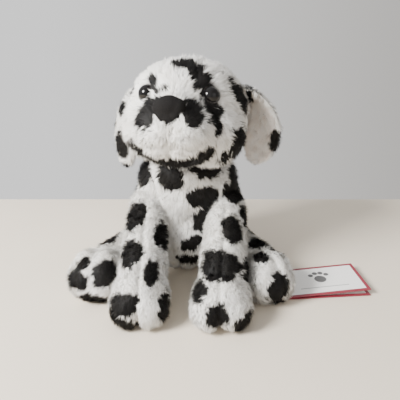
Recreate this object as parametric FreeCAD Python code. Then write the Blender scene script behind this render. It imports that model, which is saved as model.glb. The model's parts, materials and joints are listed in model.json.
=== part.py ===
"""A small sitting plush dog: sewn fabric skins over stuffing and pellet pouches, safety eyes, sewn label, swing tag.

Millimetres. +Z is up and the dog faces -Y, so its own left side is +X.
The origin is the centre of the flat seat, on the surface that the dog sits on.
"""

import FreeCAD, Part

import math
import os

from FreeCAD import Matrix, Placement, Rotation, Vector

# Fabric and clearances
SKIN = 2.0              # fabric backing with the roots of its pile
LOOSE = 0.2             # between a skin and the filling inside it
FREE = 0.5              # between a limb and the socket it turns in
POUCH_CLOTH = 0.8       # thin lining cloth of the pellet pouches
FAR = 300.0             # half size of a cutting block

# Torso
BELLY, BELLY_R = Vector(0, 3, 25), 37.0
SHOULDERS, SHOULDER_SPAN, SHOULDER_R = Vector(0, -2, 45), 12.0, 27.0
SEAT_SEAM_Z = 7.0
CHEST_TOP_HALF, CHEST_BOTTOM_HALF = 26.0, 7.0
CHEST_BACK_Y = -6.0
SEAT_POUCH = (Vector(0, 1, 17), (13.0, 19.0, 11.0))

# Neck: the torso ends in a round dome that the head turns on, about its centre
NECK = Vector(0, -7, 71)
NECK_DOME_R = 23.0
NECK_BAND = 1.2
NECK_STEP = 0.4
NECK_BAND_Z = (9.0, 16.0)

# Head, in its own frame: its centre, half sizes, and the way it is turned
HEAD = Vector(0.5, -12, 115)
HEAD_TURN, HEAD_LIFT = 12.0, 10.0
SKULL_SPAN, SKULL_R = 4.5, 34.0
MUZZLE_AT, MUZZLE_SPAN, MUZZLE_R = Vector(0, -27, -7), 2.5, 21.0
CROWN_HALF, CROWN_LOW = 11.0, -3.0
CHIN_TOP, CHIN_BACK, CHIN_HALF = -14.0, 4.0, 24.0
NOSE_AT, NOSE = Vector(0, -46, 5.5), (9.0, 7.5, 8.5)
MOUTH_THREAD_R = 0.5

# Safety eyes
EYE_AT = Vector(21.0, -27.2, 12.7)
EYE_R, EYE_DOME = 5.6, 4.2
SHANK_R, SHANK_LENGTH = 1.9, 10.0
WASHER_R, WASHER_THICK, WASHER_DEPTH = 6.5, 1.2, 5.5

# Ears: a curved strip of two fabrics, cut to a rounded outline
EAR_ROOT = Vector(28.5, 6, 21)
EAR_FLARE = {1: -20.0, -1: 8.0}
EAR_REACH = {1: 1.15, -1: 0.85}
EAR_CURVE = [(0.0, 0.0), (6.0, 1.2), (13.0, -2.5), (21.5, -15.0), (25.5, -33.0), (25.0, -55.0)]
EAR_LAYER = 1.7
EAR_GROOVE = 3.7
EAR_ROOT_HALF, EAR_HALF, EAR_LENGTH = 9.0, 13.0, 54.0

# Limbs: root ball, straight run and paw, each given for the left and the right side
FORELEG_ROOT_R, FORELEG_WRIST_R = 13.5, 13.0
FORELEG = {
    "left": (Vector(28, -18, 49), Vector(22, -80, 14)),
    "right": (Vector(-28, -18, 49), Vector(-28, -77, 14)),
}
FOREPAW_SPAN, FOREPAW_R = Vector(2.5, 0, 0), 14.5
HINDLEG_ROOT_R, HINDLEG_ANKLE_R = 13.0, 12.0
HINDLEG = {
    "left": (Vector(29, 6, 17), Vector(55, -54, 15)),
    "right": (Vector(-29, 6, 17), Vector(-60, -51, 15)),
}
HINDPAW_SPAN, HINDPAW_R = Vector(0, 0, 1.5), 14.0
FORELEG_SWING = (0.0, 35.0)
HINDLEG_SPLAY = (0.0, 25.0)
SWEEP_STEP = 12.5
RUN_START = 0.95        # radius of a limb's run at its root, as a share of the root ball's
PAW_POUCH = (0.64, 0.64, 0.50)

# Tail: an arc in the plane X = 0
TAIL_ROOT = Vector(0, 35, 15)
TAIL_RADIUS, TAIL_SWEEP, TAIL_START = 45.0, 52.0, 18.0
TAIL_R, TAIL_TIP_R = 6.0, 4.2
TAIL_WAG = (-30.0, 30.0)

# Sewn label and swing tag
LABEL_AT, LABEL_LENGTH, LABEL_WIDTH, LABEL_PLY = Vector(30.0, 3.0, 1.0), 31.0, 16.0, 0.4
TAG_AT, TAG_TURN = Vector(67.5, -63.5, 0.4), 5.0
TAG_LENGTH, TAG_WIDTH, CARD = 58.0, 35.0, 0.5
TAG_OPEN = 3.5
TAG_HOLE_R, TAG_HOLE_IN = 1.6, 4.0
TAG_NOTCH = 9.0
PIN_R, PIN_ROOM, PIN_EXIT_Z = 0.45, 0.2, 7.0

STITCH_COUNT, STITCH_PITCH, STITCH_LENGTH, STITCH_R = 8, 4.0, 5.0, 0.45


def ellipsoid(centre, half):
    """A ball stretched to three half sizes."""
    stretch = Matrix()
    stretch.scale(*half)
    return Part.makeSphere(1).transformGeometry(stretch).translated(centre)


def ball(centre, radius):
    return Part.makeSphere(radius, centre)


def roll(centre, span, radius):
    """Two balls a span to each side of a centre, and the round bar between them."""
    bar = Part.makeCylinder(radius, 2 * span.Length, centre - span, span)
    return ball(centre - span, radius).fuse([ball(centre + span, radius), bar])


def block(low, high):
    return Part.makeBox(high[0] - low[0], high[1] - low[1], high[2] - low[2], Vector(*low))


def less(half, inset):
    return tuple(size - inset for size in half)


def floor_block(height):
    """Everything below a height, to give a soft part its flat underside."""
    return block((-FAR, -FAR, -FAR), (FAR, FAR, height))


def halves(shape, point, normal):
    """The two parts of a shape on each side of a plane: first the side the normal points to."""
    parts = []
    for way in (normal, normal * -1):
        side = Part.makeBox(2 * FAR, 2 * FAR, FAR, Vector(-FAR, -FAR, 0))
        side.Placement = Placement(point, Rotation(Vector(0, 0, 1), way))
        parts.append(shape.common(side))
    return parts


def save(name, shape):
    """Writes one node, as a single solid or as a group of separate ones."""
    solids = shape.Solids
    whole = solids[0] if len(solids) == 1 else Part.makeCompound(solids)
    whole.exportStep(f"parts/{name}.step")
    state = "ok" if whole.isValid() else "INVALID"
    print(f"{name:30s} {len(solids)} solid(s) {whole.Volume:10.1f} mm3 {state}")


# ---------------------------------------------------------------- limbs

def limb(root, paw, radii, paw_size, inset=0.0):
    """Root ball, tapering run and paw as one closed shape with a flat sole."""
    run = paw - root
    root_r, end_r = radii[0] - inset, radii[1] - inset
    tube = Part.makeCone(RUN_START * root_r, end_r, run.Length, root, run)
    span, paw_r = paw_size
    whole = roll(paw, span, paw_r - inset).fuse([ball(root, root_r), tube])
    return whole.removeSplitter().cut(floor_block(inset))


def swept_room(root, paw, radii, axis, span):
    """The room that a limb's root and run need over their whole travel, as a list of cutters."""
    steps = max(1, math.ceil((span[1] - span[0]) / SWEEP_STEP))
    run = paw - root
    cutters = [ball(root, radii[0] + FREE)]
    for i in range(steps + 1):
        angle = span[0] + (span[1] - span[0]) * i / steps
        way = Rotation(axis, angle).multVec(run)
        start_r = RUN_START * radii[0] + FREE
        cutters.append(Part.makeCone(start_r, radii[1] + FREE, run.Length, root, way))
    return cutters


def make_limb(name, root, paw, radii, paw_size, holes=()):
    """Two skin panels, the stuffing, and a pellet pouch in the paw."""
    outer = limb(root, paw, radii, paw_size)
    skin = outer.cut(limb(root, paw, radii, paw_size, SKIN))
    for hole in holes:
        skin = skin.cut(hole)
    across = Vector(0, 0, 1).cross(paw - root)
    across.z = 0
    if across.x * root.x < 0:
        across = across * -1
    outside, inside = halves(skin, root, across)
    save(f"{name}_outer_panel", outside)
    save(f"{name}_inner_panel", inside)
    pouch_half = tuple(paw_size[1] * share for share in PAW_POUCH)
    pouch_at = paw + Vector(0, 0, -1.5)
    room = ellipsoid(pouch_at, less(pouch_half, -LOOSE))
    save(f"{name}_stuffing", cleared(limb(root, paw, radii, paw_size, SKIN + LOOSE), [[room], holes]))
    cloth = ellipsoid(pouch_at, pouch_half).cut(ellipsoid(pouch_at, less(pouch_half, POUCH_CLOTH)))
    save(f"{name}_pellet_pouch", cloth)
    save(f"{name}_pellets", ellipsoid(pouch_at, less(pouch_half, POUCH_CLOTH + LOOSE)))


# ---------------------------------------------------------------- torso

def torso_body(inset=0.0):
    """Belly, shoulders and neck dome as one closed shape with a flat seat."""
    shoulders = roll(SHOULDERS, Vector(SHOULDER_SPAN, 0, 0), SHOULDER_R - inset)
    whole = shoulders.fuse([ball(BELLY, BELLY_R - inset), ball(NECK, NECK_DOME_R - inset)])
    return whole.removeSplitter().cut(floor_block(inset))


def torso_back(z):
    """How far back the torso's middle line is at a height."""
    reach = []
    for centre, radius in ((BELLY, BELLY_R), (SHOULDERS, SHOULDER_R)):
        if abs(z - centre.z) < radius:
            reach.append(centre.y + math.sqrt(radius ** 2 - (z - centre.z) ** 2))
    return max(reach)


def tail_point(share):
    """A point on the tail's arc, and the way the tail runs there."""
    angle = math.radians(TAIL_START + TAIL_SWEEP * share)
    start = math.radians(TAIL_START)
    along = Vector(0, math.sin(angle) - math.sin(start), math.cos(start) - math.cos(angle))
    return TAIL_ROOT + along * TAIL_RADIUS, Vector(0, math.cos(angle), math.sin(angle))


def tail_body(inset=0.0):
    """The tapering tail, with a round root and a round tip."""
    rings = []
    count = 6
    for i in range(count + 1):
        centre, way = tail_point(i / count)
        radius = TAIL_R + (TAIL_TIP_R - TAIL_R) * i / count - inset
        rings.append(Part.Wire(Part.makeCircle(radius, centre, way)))
    body = Part.makeLoft(rings, True, False)
    tip, _ = tail_point(1.0)
    return body.fuse([ball(TAIL_ROOT, TAIL_R - inset), ball(tip, TAIL_TIP_R - inset)]).removeSplitter()


def tail_room():
    """The room for the tail's root over its whole wag, as a list of cutters."""
    cutters = [ball(TAIL_ROOT, TAIL_R + 2 * FREE)]
    _, way = tail_point(0.0)
    for angle in (TAIL_WAG[0], 0.0, TAIL_WAG[1]):
        turned = Rotation(Vector(0, 0, 1), angle).multVec(way)
        cutters.append(Part.makeCone(TAIL_R, TAIL_R + FREE + 1.5, 3 * TAIL_R, TAIL_ROOT, turned))
    return cutters


def chest_zone():
    """The wedge of the chest panel, wide at the neck and narrow at the belly."""
    top = NECK.z + NECK_DOME_R
    corners = [(-CHEST_BOTTOM_HALF, SEAT_SEAM_Z), (CHEST_BOTTOM_HALF, SEAT_SEAM_Z),
               (CHEST_TOP_HALF, top), (-CHEST_TOP_HALF, top)]
    points = [Vector(x, CHEST_BACK_Y, z) for x, z in corners]
    face = Part.Face(Part.makePolygon(points + points[:1]))
    return face.extrude(Vector(0, -FAR, 0))


def cleared(shape, rooms):
    """A shape with every limb's room cut out of it, one cutter at a time."""
    for cutters in rooms:
        for cutter in cutters:
            shape = shape.cut(cutter)
    return shape


def make_torso(rooms):
    """Seat, chest and two side panels, the stuffing, and the seat's pellet pouch."""
    skin = torso_body().cut(torso_body(SKIN))
    below = floor_block(SEAT_SEAM_Z)
    save("seat_panel", cleared(skin.common(below), rooms))
    upper = skin.cut(below)
    chest = chest_zone()
    save("chest_panel", cleared(upper.common(chest), rooms))
    left, right = halves(upper.cut(chest), Vector(0, 0, 0), Vector(1, 0, 0))
    save("torso_left_panel", cleared(left, rooms))
    save("torso_right_panel", cleared(right, rooms))
    centre, half = SEAT_POUCH
    stuffing = torso_body(SKIN + LOOSE).cut(ellipsoid(centre, less(half, -LOOSE)))
    save("torso_stuffing", cleared(stuffing, rooms))
    save("seat_pellet_pouch", ellipsoid(centre, half).cut(ellipsoid(centre, less(half, POUCH_CLOTH))))
    save("seat_pellets", ellipsoid(centre, less(half, POUCH_CLOTH + LOOSE)))


def make_tail():
    outer = tail_body()
    skin = outer.cut(tail_body(SKIN))
    left, right = halves(skin, TAIL_ROOT, Vector(1, 0, 0))
    save("tail_left_panel", left)
    save("tail_right_panel", right)
    save("tail_stuffing", tail_body(SKIN + LOOSE))


def make_neck():
    """The two turned-in seam bands between torso and head, nested about the neck's centre."""
    inner = NECK_DOME_R + NECK_STEP
    for name in ("neck_lower_seam_band", "neck_upper_seam_band"):
        shell = ball(NECK, inner + NECK_BAND).cut(ball(NECK, inner))
        low, high = (NECK.z + z for z in NECK_BAND_Z)
        save(name, shell.common(block((-FAR, -FAR, low), (FAR, FAR, high))))
        inner += NECK_BAND + NECK_STEP
    return inner


def make_closing_stitches():
    """The row of hand stitches that closes the back seam, lying on the fabric."""
    stitches = []
    for i in range(STITCH_COUNT):
        z = 30.0 + i * STITCH_PITCH
        y = torso_back(z) + STITCH_R + 0.5
        start = Vector(-STITCH_LENGTH / 2, y, z)
        stitches.append(Part.makeCylinder(STITCH_R, STITCH_LENGTH, start, Vector(1, 0, 0.25)))
    save("closing_stitches", Part.makeCompound(stitches))


# ---------------------------------------------------------------- head

HEAD_PLACE = Placement(HEAD, Rotation(Vector(0, 0, 1), -HEAD_TURN) * Rotation(Vector(1, 0, 0), -HEAD_LIFT))


def on_head(shape):
    """Moves a shape from the head's own frame to where the head is."""
    placed = shape.copy()
    placed.Placement = HEAD_PLACE.multiply(placed.Placement)
    return placed


def head_body(inset=0.0):
    """Skull and muzzle, in the head's own frame."""
    skull = roll(Vector(0, 0, 0), Vector(SKULL_SPAN, 0, 0), SKULL_R - inset)
    muzzle = roll(MUZZLE_AT, Vector(MUZZLE_SPAN, 0, 0), MUZZLE_R - inset)
    return skull.fuse(muzzle).removeSplitter()


def ear_axes(side):
    """Along the ear's root seam, and outwards from it, for the left (1) or the right (-1) ear."""
    flare = math.radians(EAR_FLARE[side])
    width = Vector(side * math.sin(flare), math.cos(flare), 0)
    out = Vector(side * math.cos(flare), -math.sin(flare), 0)
    return width, out


def ear_strip(side, inner, outer):
    """The curved strip between two offsets from the ear's middle line, before it is cut to outline."""
    width, out = ear_axes(side)
    root = Vector(side * EAR_ROOT.x, EAR_ROOT.y, EAR_ROOT.z)
    points = [Vector(n * EAR_REACH[side], 0, z) for n, z in EAR_CURVE]
    curve = Part.BSplineCurve()
    curve.interpolate(points)
    sides = []
    for offset in (inner, outer):
        line = []
        for i in range(9):
            t = curve.FirstParameter + (curve.LastParameter - curve.FirstParameter) * i / 8
            way = curve.tangent(t)[0]
            flat = curve.value(t) + Vector(-way.z, 0, way.x) * offset
            line.append(root + out * flat.x + Vector(0, 0, flat.z))
        edge = Part.BSplineCurve()
        edge.interpolate(line)
        sides.append(edge)
    root_end = Part.makeLine(sides[1].value(sides[1].FirstParameter), sides[0].value(sides[0].FirstParameter))
    tip_end = Part.makeLine(sides[0].value(sides[0].LastParameter), sides[1].value(sides[1].LastParameter))
    face = Part.Face(Part.Wire([root_end, sides[0].toShape(), tip_end, sides[1].toShape()]))
    return face.translated(width * -EAR_HALF).extrude(width * (2 * EAR_HALF))


def ear_outline(side):
    """The ear's rounded outline as a thick prism across the strip."""
    width, out = ear_axes(side)
    root = Vector(side * EAR_ROOT.x, EAR_ROOT.y, EAR_ROOT.z)

    def at(w, z):
        return root + width * w + Vector(0, 0, z)

    low = -EAR_LENGTH
    curve = Part.BSplineCurve()
    curve.interpolate([at(EAR_ROOT_HALF, 4), at(EAR_HALF - 1, -16), at(EAR_HALF, -34), at(8, low + 4),
                       at(0, low), at(-8, low + 4), at(-EAR_HALF, -34), at(-EAR_HALF + 1, -16),
                       at(-EAR_ROOT_HALF, 4)])
    wire = Part.Wire([curve.toShape(), Part.makeLine(at(-EAR_ROOT_HALF, 4), at(EAR_ROOT_HALF, 4))])
    return Part.Face(wire).translated(out * -10).extrude(out * 60)


def ear_groove(side):
    """The seam groove in the head that the ear's root lies in."""
    width, _ = ear_axes(side)
    root = Vector(side * EAR_ROOT.x, EAR_ROOT.y, EAR_ROOT.z)
    reach = EAR_ROOT_HALF + 2
    return Part.makeCylinder(EAR_LAYER + EAR_GROOVE, 2 * reach, root - width * reach, width)


def make_ear(name, side):
    outline = ear_outline(side)
    save(f"{name}_outer_panel", on_head(ear_strip(side, 0.05, EAR_LAYER).common(outline)))
    save(f"{name}_lining_panel", on_head(ear_strip(side, -EAR_LAYER, -0.05).common(outline)))


def eye_place(side):
    """Where an eye sits, and the way it looks, square to the skull's surface there."""
    at = Vector(side * EYE_AT.x, EYE_AT.y, EYE_AT.z)
    look = at - Vector(side * SKULL_SPAN, 0, 0)
    look.normalize()
    return at, look


def make_eye():
    """Dome with its shank, in the eye's own frame: +Z looks out and Z = 0 is the dome's flat back."""
    bulge = (EYE_R ** 2 + EYE_DOME ** 2) / (2 * EYE_DOME)
    dome = ball(Vector(0, 0, EYE_DOME - bulge), bulge).cut(floor_block(0))
    shank = Part.makeCylinder(SHANK_R, SHANK_LENGTH, Vector(0, 0, -SHANK_LENGTH))
    ribs = [Part.makeCylinder(SHANK_R + 0.3, 0.6, Vector(0, 0, -z)) for z in (9.0, 7.6)]
    return dome.fuse([shank] + ribs).removeSplitter()


def washer_body():
    """The lock washer pressed on to an eye's shank behind the skin."""
    disc = Part.makeCylinder(WASHER_R, WASHER_THICK, Vector(0, 0, -WASHER_DEPTH))
    slots = []
    for i in range(4):
        slot = block((SHANK_R, -0.5, -WASHER_DEPTH - 1), (SHANK_R + 2.2, 0.5, 0))
        slots.append(slot.rotated(Vector(0, 0, 0), Vector(0, 0, 1), 90 * i))
    return disc.cut([Part.makeCylinder(SHANK_R + 0.05, SHANK_LENGTH, Vector(0, 0, -SHANK_LENGTH))] + slots)


def make_head(socket_r):
    """Crown gusset, chin and two side panels, the stuffing, nose, eyes and mouth seam."""
    socket = ball(NECK, socket_r)
    socket.Placement = HEAD_PLACE.inverse().multiply(socket.Placement)
    grooves = [ear_groove(side) for side in (1, -1)]
    outer, inner = head_body(), head_body(SKIN)
    shank_holes, washer_rooms, eyes, washers = [], [], [], []
    for side in (1, -1):
        at, look = eye_place(side)
        place = Placement(at, Rotation(Vector(0, 0, 1), look))
        dome_bed = Part.makeCylinder(EYE_R + 0.1, 8.0)
        hole = Part.makeCylinder(SHANK_R + 0.4, SHANK_LENGTH + 1, Vector(0, 0, -SHANK_LENGTH - 1))
        room = Part.makeCylinder(WASHER_R + 0.3, WASHER_THICK + 0.4, Vector(0, 0, -WASHER_DEPTH - 0.2))
        for shape in (dome_bed, hole, room):
            shape.Placement = place
        shank_holes += [dome_bed, hole]
        washer_rooms.append(room)
        eye, washer = make_eye(), washer_body()
        eye.Placement = place.multiply(eye.Placement)
        washer.Placement = place.multiply(washer.Placement)
        eyes.append(eye)
        washers.append(washer)
    skin = outer.cut(inner)
    openings = [[socket], grooves, shank_holes]
    crown_zone = block((-CROWN_HALF, -FAR, CROWN_LOW), (CROWN_HALF, FAR, FAR))
    nape_zone = block((-CROWN_HALF, 0, -FAR), (CROWN_HALF, FAR, FAR))
    crown_zone = crown_zone.fuse(nape_zone)
    chin_zone = block((-CHIN_HALF, -FAR, -FAR), (CHIN_HALF, -CHIN_BACK, CHIN_TOP))
    save("head_crown_panel", on_head(cleared(skin.common(crown_zone), openings)))
    sides = skin.cut(crown_zone)
    save("head_chin_panel", on_head(cleared(sides.common(chin_zone), openings)))
    left, right = halves(sides.cut(chin_zone), Vector(0, 0, 0), Vector(1, 0, 0))
    save("head_left_panel", on_head(cleared(left, openings)))
    save("head_right_panel", on_head(cleared(right, openings)))
    stuffing = head_body(SKIN + LOOSE).cut([socket] + grooves + shank_holes + washer_rooms)
    save("head_stuffing", on_head(stuffing))
    save("nose", on_head(ellipsoid(NOSE_AT, NOSE).cut(head_body(-0.05))))
    for name, eye, washer in zip(("left", "right"), eyes, washers):
        save(f"eye_{name}", on_head(eye))
        save(f"eye_washer_{name}", on_head(washer))
    save("mouth_seam_thread", on_head(mouth_thread()))


def mouth_thread():
    """The heavy thread in the seam from under the nose to the chin."""
    rise = MUZZLE_R + MOUTH_THREAD_R + 0.1
    ring = Part.makeTorus(rise, MOUTH_THREAD_R, MUZZLE_AT, Vector(1, 0, 0), 0, 360, 360)
    low, high = MUZZLE_AT + Vector(-5, -FAR, -16), MUZZLE_AT + Vector(5, 0, 3)
    return ring.common(block(low, high))


# ---------------------------------------------------------------- label and tag

def make_label():
    """A satin strip folded in two, its ends in the seat seam and its fold outwards."""
    length, width, ply = LABEL_LENGTH, LABEL_WIDTH, LABEL_PLY
    strip = block((0, -width / 2, -ply), (length - ply, width / 2, ply))
    gap = block((-1, -width, -0.08), (length - 3 * ply, width, 0.08))
    fold = Part.makeCylinder(ply, width, Vector(length - ply, -width / 2, 0), Vector(0, 1, 0))
    label = strip.fuse(fold).removeSplitter().cut(gap)
    save("sewn_label", label.translated(LABEL_AT))


def tag_place():
    return Placement(TAG_AT, Rotation(Vector(0, 0, 1), TAG_TURN))


def make_tag():
    """Two card leaves joined at the spine, and the plastic pin that holds the card to the leg.

    The card's own frame starts at the spine's near corner, with X along the card and Y away."""
    place = tag_place()
    hole_at = Vector(TAG_HOLE_IN, TAG_WIDTH - TAG_HOLE_IN, 0)
    back = block((0, 0, 0), (TAG_LENGTH, TAG_WIDTH, CARD))
    back = back.cut(Part.makeCylinder(TAG_HOLE_R, 4, hole_at - Vector(0, 0, 2)))
    front = block((0, 0, 0), (TAG_LENGTH, TAG_WIDTH, CARD))
    corner = Part.makePolygon([Vector(-1, TAG_WIDTH + 1, -1), Vector(TAG_NOTCH, TAG_WIDTH + 1, -1),
                               Vector(TAG_NOTCH, TAG_WIDTH - TAG_NOTCH + 2, -1),
                               Vector(TAG_NOTCH - 2, TAG_WIDTH - TAG_NOTCH, -1),
                               Vector(-1, TAG_WIDTH - TAG_NOTCH, -1), Vector(-1, TAG_WIDTH + 1, -1)])
    front = front.cut(Part.Face(corner).extrude(Vector(0, 0, 4)))
    front.Placement = Placement(Vector(0, 0, CARD + 0.35), Rotation(Vector(0, 1, 0), -TAG_OPEN))
    for name, leaf in (("tag_back_leaf", back), ("tag_front_leaf", front)):
        leaf.Placement = place.multiply(leaf.Placement)
        save(name, leaf)
    hole = place.multVec(hole_at)
    exit_point, inward = pin_exit()
    save("tag_pin_anchor", pin_anchor(0.0)[0].fuse(pin_anchor(0.0)[1]).removeSplitter())
    start = exit_point - inward * (3 * FREE)
    knee = hole + Vector(0, 0, CARD + 1.6)
    slope = knee - start
    thread = Part.makeCylinder(PIN_R, slope.Length, start, slope)
    down = Part.makeCylinder(PIN_R, 1.4, knee, Vector(0, 0, -1))
    paddle = ball(knee, PIN_R * 1.6)
    save("tag_pin", thread.fuse([down, paddle]).removeSplitter())


def pin_anchor(room):
    """The end of the tag pin inside the leg: a stub and a cross bar, or the room round them."""
    exit_point, inward = pin_exit()
    stub = Part.makeCylinder(PIN_R + room, 4.0 + room, exit_point, inward)
    bar_r, half = PIN_R * 1.3 + room, 4.0 + room
    bar = Part.makeCylinder(bar_r, 2 * half, exit_point + inward * 4.0 - Vector(0, half, 0), Vector(0, 1, 0))
    return [stub, bar]


def pin_exit():
    """Where the tag pin leaves the left hind leg, on the outer side of its run, and the way in."""
    root, paw = HINDLEG["left"]
    along = 0.38
    centre = root + (paw - root) * along
    radius = HINDLEG_ROOT_R + (HINDLEG_ANKLE_R - HINDLEG_ROOT_R) * along
    drop = centre.z - PIN_EXIT_Z
    side = Vector(0, 0, 1).cross(paw - root) * -1
    side.z = 0
    side.normalize()
    if side.x < 0:
        side = side * -1
    exit_point = Vector(centre.x, centre.y, PIN_EXIT_Z) + side * (math.sqrt(radius ** 2 - drop ** 2) + 0.3)
    inward = centre - exit_point
    inward.z = 0
    return exit_point, inward.normalize()


def main():
    os.makedirs("parts", exist_ok=True)
    rooms = [tail_room()]
    for side, sign in (("left", 1), ("right", -1)):
        root, paw = FORELEG[side]
        radii = (FORELEG_ROOT_R, FORELEG_WRIST_R)
        make_limb(f"foreleg_{side}", root, paw, radii, (FOREPAW_SPAN, FOREPAW_R))
        rooms.append(swept_room(root, paw, radii, Vector(-1, 0, 0), FORELEG_SWING))
        root, paw = HINDLEG[side]
        radii = (HINDLEG_ROOT_R, HINDLEG_ANKLE_R)
        holes = pin_anchor(PIN_ROOM) if side == "left" else []
        make_limb(f"hindleg_{side}", root, paw, radii, (HINDPAW_SPAN, HINDPAW_R), holes)
        rooms.append(swept_room(root, paw, radii, Vector(0, 0, sign), HINDLEG_SPLAY))
    make_torso(rooms)
    make_tail()
    socket_r = make_neck()
    make_closing_stitches()
    make_head(socket_r)
    make_ear("ear_left", 1)
    make_ear("ear_right", -1)
    make_label()
    make_tag()


main()
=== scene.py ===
import json
import math

import bmesh
import bpy
import numpy as np
from mathutils import Matrix, Vector

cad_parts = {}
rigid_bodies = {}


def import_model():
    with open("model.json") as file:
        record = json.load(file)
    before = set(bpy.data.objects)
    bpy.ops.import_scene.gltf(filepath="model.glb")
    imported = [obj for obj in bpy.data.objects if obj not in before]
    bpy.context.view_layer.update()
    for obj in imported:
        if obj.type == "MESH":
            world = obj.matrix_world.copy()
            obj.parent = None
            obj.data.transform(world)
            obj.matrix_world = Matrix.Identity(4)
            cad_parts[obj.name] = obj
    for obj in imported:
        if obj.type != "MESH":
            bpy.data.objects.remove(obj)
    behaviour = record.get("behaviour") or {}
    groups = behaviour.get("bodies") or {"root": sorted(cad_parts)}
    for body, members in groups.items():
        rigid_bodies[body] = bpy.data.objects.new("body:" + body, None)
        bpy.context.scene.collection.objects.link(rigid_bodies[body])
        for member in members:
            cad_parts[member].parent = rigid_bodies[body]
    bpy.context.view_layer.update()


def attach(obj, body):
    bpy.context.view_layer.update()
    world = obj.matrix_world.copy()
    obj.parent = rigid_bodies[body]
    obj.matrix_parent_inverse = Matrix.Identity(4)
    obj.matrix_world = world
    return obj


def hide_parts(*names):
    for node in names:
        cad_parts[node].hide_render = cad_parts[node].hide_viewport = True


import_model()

MM = 0.001

SPOT_SPREAD = 1.08      # each dyed spot is drawn this much wider than its typed half sizes
SIM_SCALE = 0.006       # metres per mm in the cloth pass, which runs at six times real size
SIM_FRAMES = 14
SIM_PRESSURE = 5.0
HELD, EASED = 1.2, 3.0  # mm from a seam: held fully, then held by half
ROOT_DEPTH = 0.35       # mm that a strand starts below its cover
LOWEST_ROOT, LOWEST_TIP = 0.9, 0.12  # mm above the floor
LAY = 0.9               # how far the strands lie over along their flow
EYE_BALD = 6.3          # mm round each eye's centre with no pile

# The head's own frame: its centre, and the way it is turned (mm)
HEAD_AT = np.array([0.5, -12.0, 115.0])
HEAD_TURN = np.array(Matrix.Rotation(math.radians(-12), 3, "Z") @ Matrix.Rotation(math.radians(-10), 3, "X"))
EYES = [np.array([side * 21.0, -27.2, 12.7]) for side in (1, -1)]
NOSE = np.array([0.0, -46.5, 4.2])


def from_head(points):
    return np.asarray(points, float) @ HEAD_TURN.T + HEAD_AT


def to_head(points):
    return (np.asarray(points, float) - HEAD_AT) @ HEAD_TURN


def unit(v):
    return v / np.maximum(np.linalg.norm(v, axis=-1, keepdims=True), 1e-9)


def noise(points, scale, seed):
    """Smooth noise from -1 to 1 at points in mm: hashed lattice values, blended between the cell's corners."""
    q = points / scale + 977.0
    cell = np.floor(q).astype(np.int64)
    t = q - cell
    t = t * t * (3 - 2 * t)
    total = np.zeros(len(points))
    for corner in range(8):
        step = np.array([corner & 1, corner >> 1 & 1, corner >> 2 & 1])
        key = (cell + step) * np.array([73856093, 19349663, 83492791])
        h = (key[:, 0] ^ key[:, 1] ^ key[:, 2] ^ (seed * 2654435)) & 0xFFFFFFFF
        h = ((h ^ (h >> 15)) * 2246822519) & 0xFFFFFFFF
        h = ((h ^ (h >> 13)) * 3266489917) & 0xFFFFFFFF
        value = ((h ^ (h >> 16)) & 0xFFFF) / 32767.5 - 1
        total += value * np.prod(np.where(step == 1, t, 1 - t), axis=1)
    return total


# ------------------------------------------------------------ materials

def principled(name, color, rough, sheen=0.0, sheen_rough=0.4, coat=0.0):
    m = bpy.data.materials.new(name)
    m.use_nodes = True
    n = m.node_tree.nodes["Principled BSDF"]
    n.inputs["Base Color"].default_value = (*color, 1)
    n.inputs["Roughness"].default_value = rough
    n.inputs["Sheen Weight"].default_value = sheen
    n.inputs["Sheen Roughness"].default_value = sheen_rough
    n.inputs["Coat Weight"].default_value = coat
    return m, n


def link(m, a, b):
    m.node_tree.links.new(a, b)


def add(m, kind, **values):
    n = m.node_tree.nodes.new(kind)
    for key, value in values.items():
        setattr(n, key, value)
    return n


def noise_node(m, scale, detail=3.0):
    """Noise laid out in the object's own metres."""
    place = add(m, "ShaderNodeTexCoord")
    n = add(m, "ShaderNodeTexNoise")
    n.inputs["Scale"].default_value = scale
    n.inputs["Detail"].default_value = detail
    link(m, place.outputs["Object"], n.inputs["Vector"])
    return n


def bump(m, shader, source, strength, distance):
    b = add(m, "ShaderNodeBump")
    b.inputs["Strength"].default_value = strength
    b.inputs["Distance"].default_value = distance
    link(m, source, b.inputs["Height"])
    link(m, b.outputs["Normal"], shader.inputs["Normal"])


def cloth_material(name, white, black):
    """Backing cloth: white, and black dye by the spot attribute, mottled, with a fine knit bump. Its white is painted
    darker than the pile's, as painted shade at the strand roots.
    """
    m, shader = principled(name, white, 0.9)
    shader.inputs["Specular IOR Level"].default_value = 0.15
    spot = add(m, "ShaderNodeAttribute", attribute_name="spot")
    mottle = noise_node(m, 900.0)
    tint = add(m, "ShaderNodeValToRGB")
    tint.color_ramp.elements[0].color = (*[c * 0.82 for c in white], 1)
    tint.color_ramp.elements[1].color = (*white, 1)
    link(m, mottle.outputs["Fac"], tint.inputs["Fac"])
    dye = add(m, "ShaderNodeMix", data_type="RGBA")
    dye.inputs["B"].default_value = (*black, 1)
    link(m, spot.outputs["Fac"], dye.inputs["Factor"])
    link(m, tint.outputs["Color"], dye.inputs["A"])
    link(m, dye.outputs["Result"], shader.inputs["Base Color"])
    knit = noise_node(m, 2600.0, 2.0)
    bump(m, shader, knit.outputs["Fac"], 0.5, 0.0006)
    return m


def fibre_materials(name, colors, rough=0.75, sheen=0.2):
    made = []
    for i, c in enumerate(colors):
        m, shader = principled(f"{name}_{i}", c, rough, sheen, 0.5)
        shader.inputs["Specular IOR Level"].default_value = 0.2
        made.append(m)
    return made


BLACK = (0.012, 0.011, 0.010)
# Painted shade: these cloths' whites are darker than the pile's whites, so the roots between the strands look shaded
root_shaded_cloth = cloth_material("root_shaded_plush_cloth", (0.72, 0.70, 0.66), BLACK)
lining_cloth = cloth_material("lining_cloth", (0.80, 0.73, 0.68), BLACK)
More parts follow.
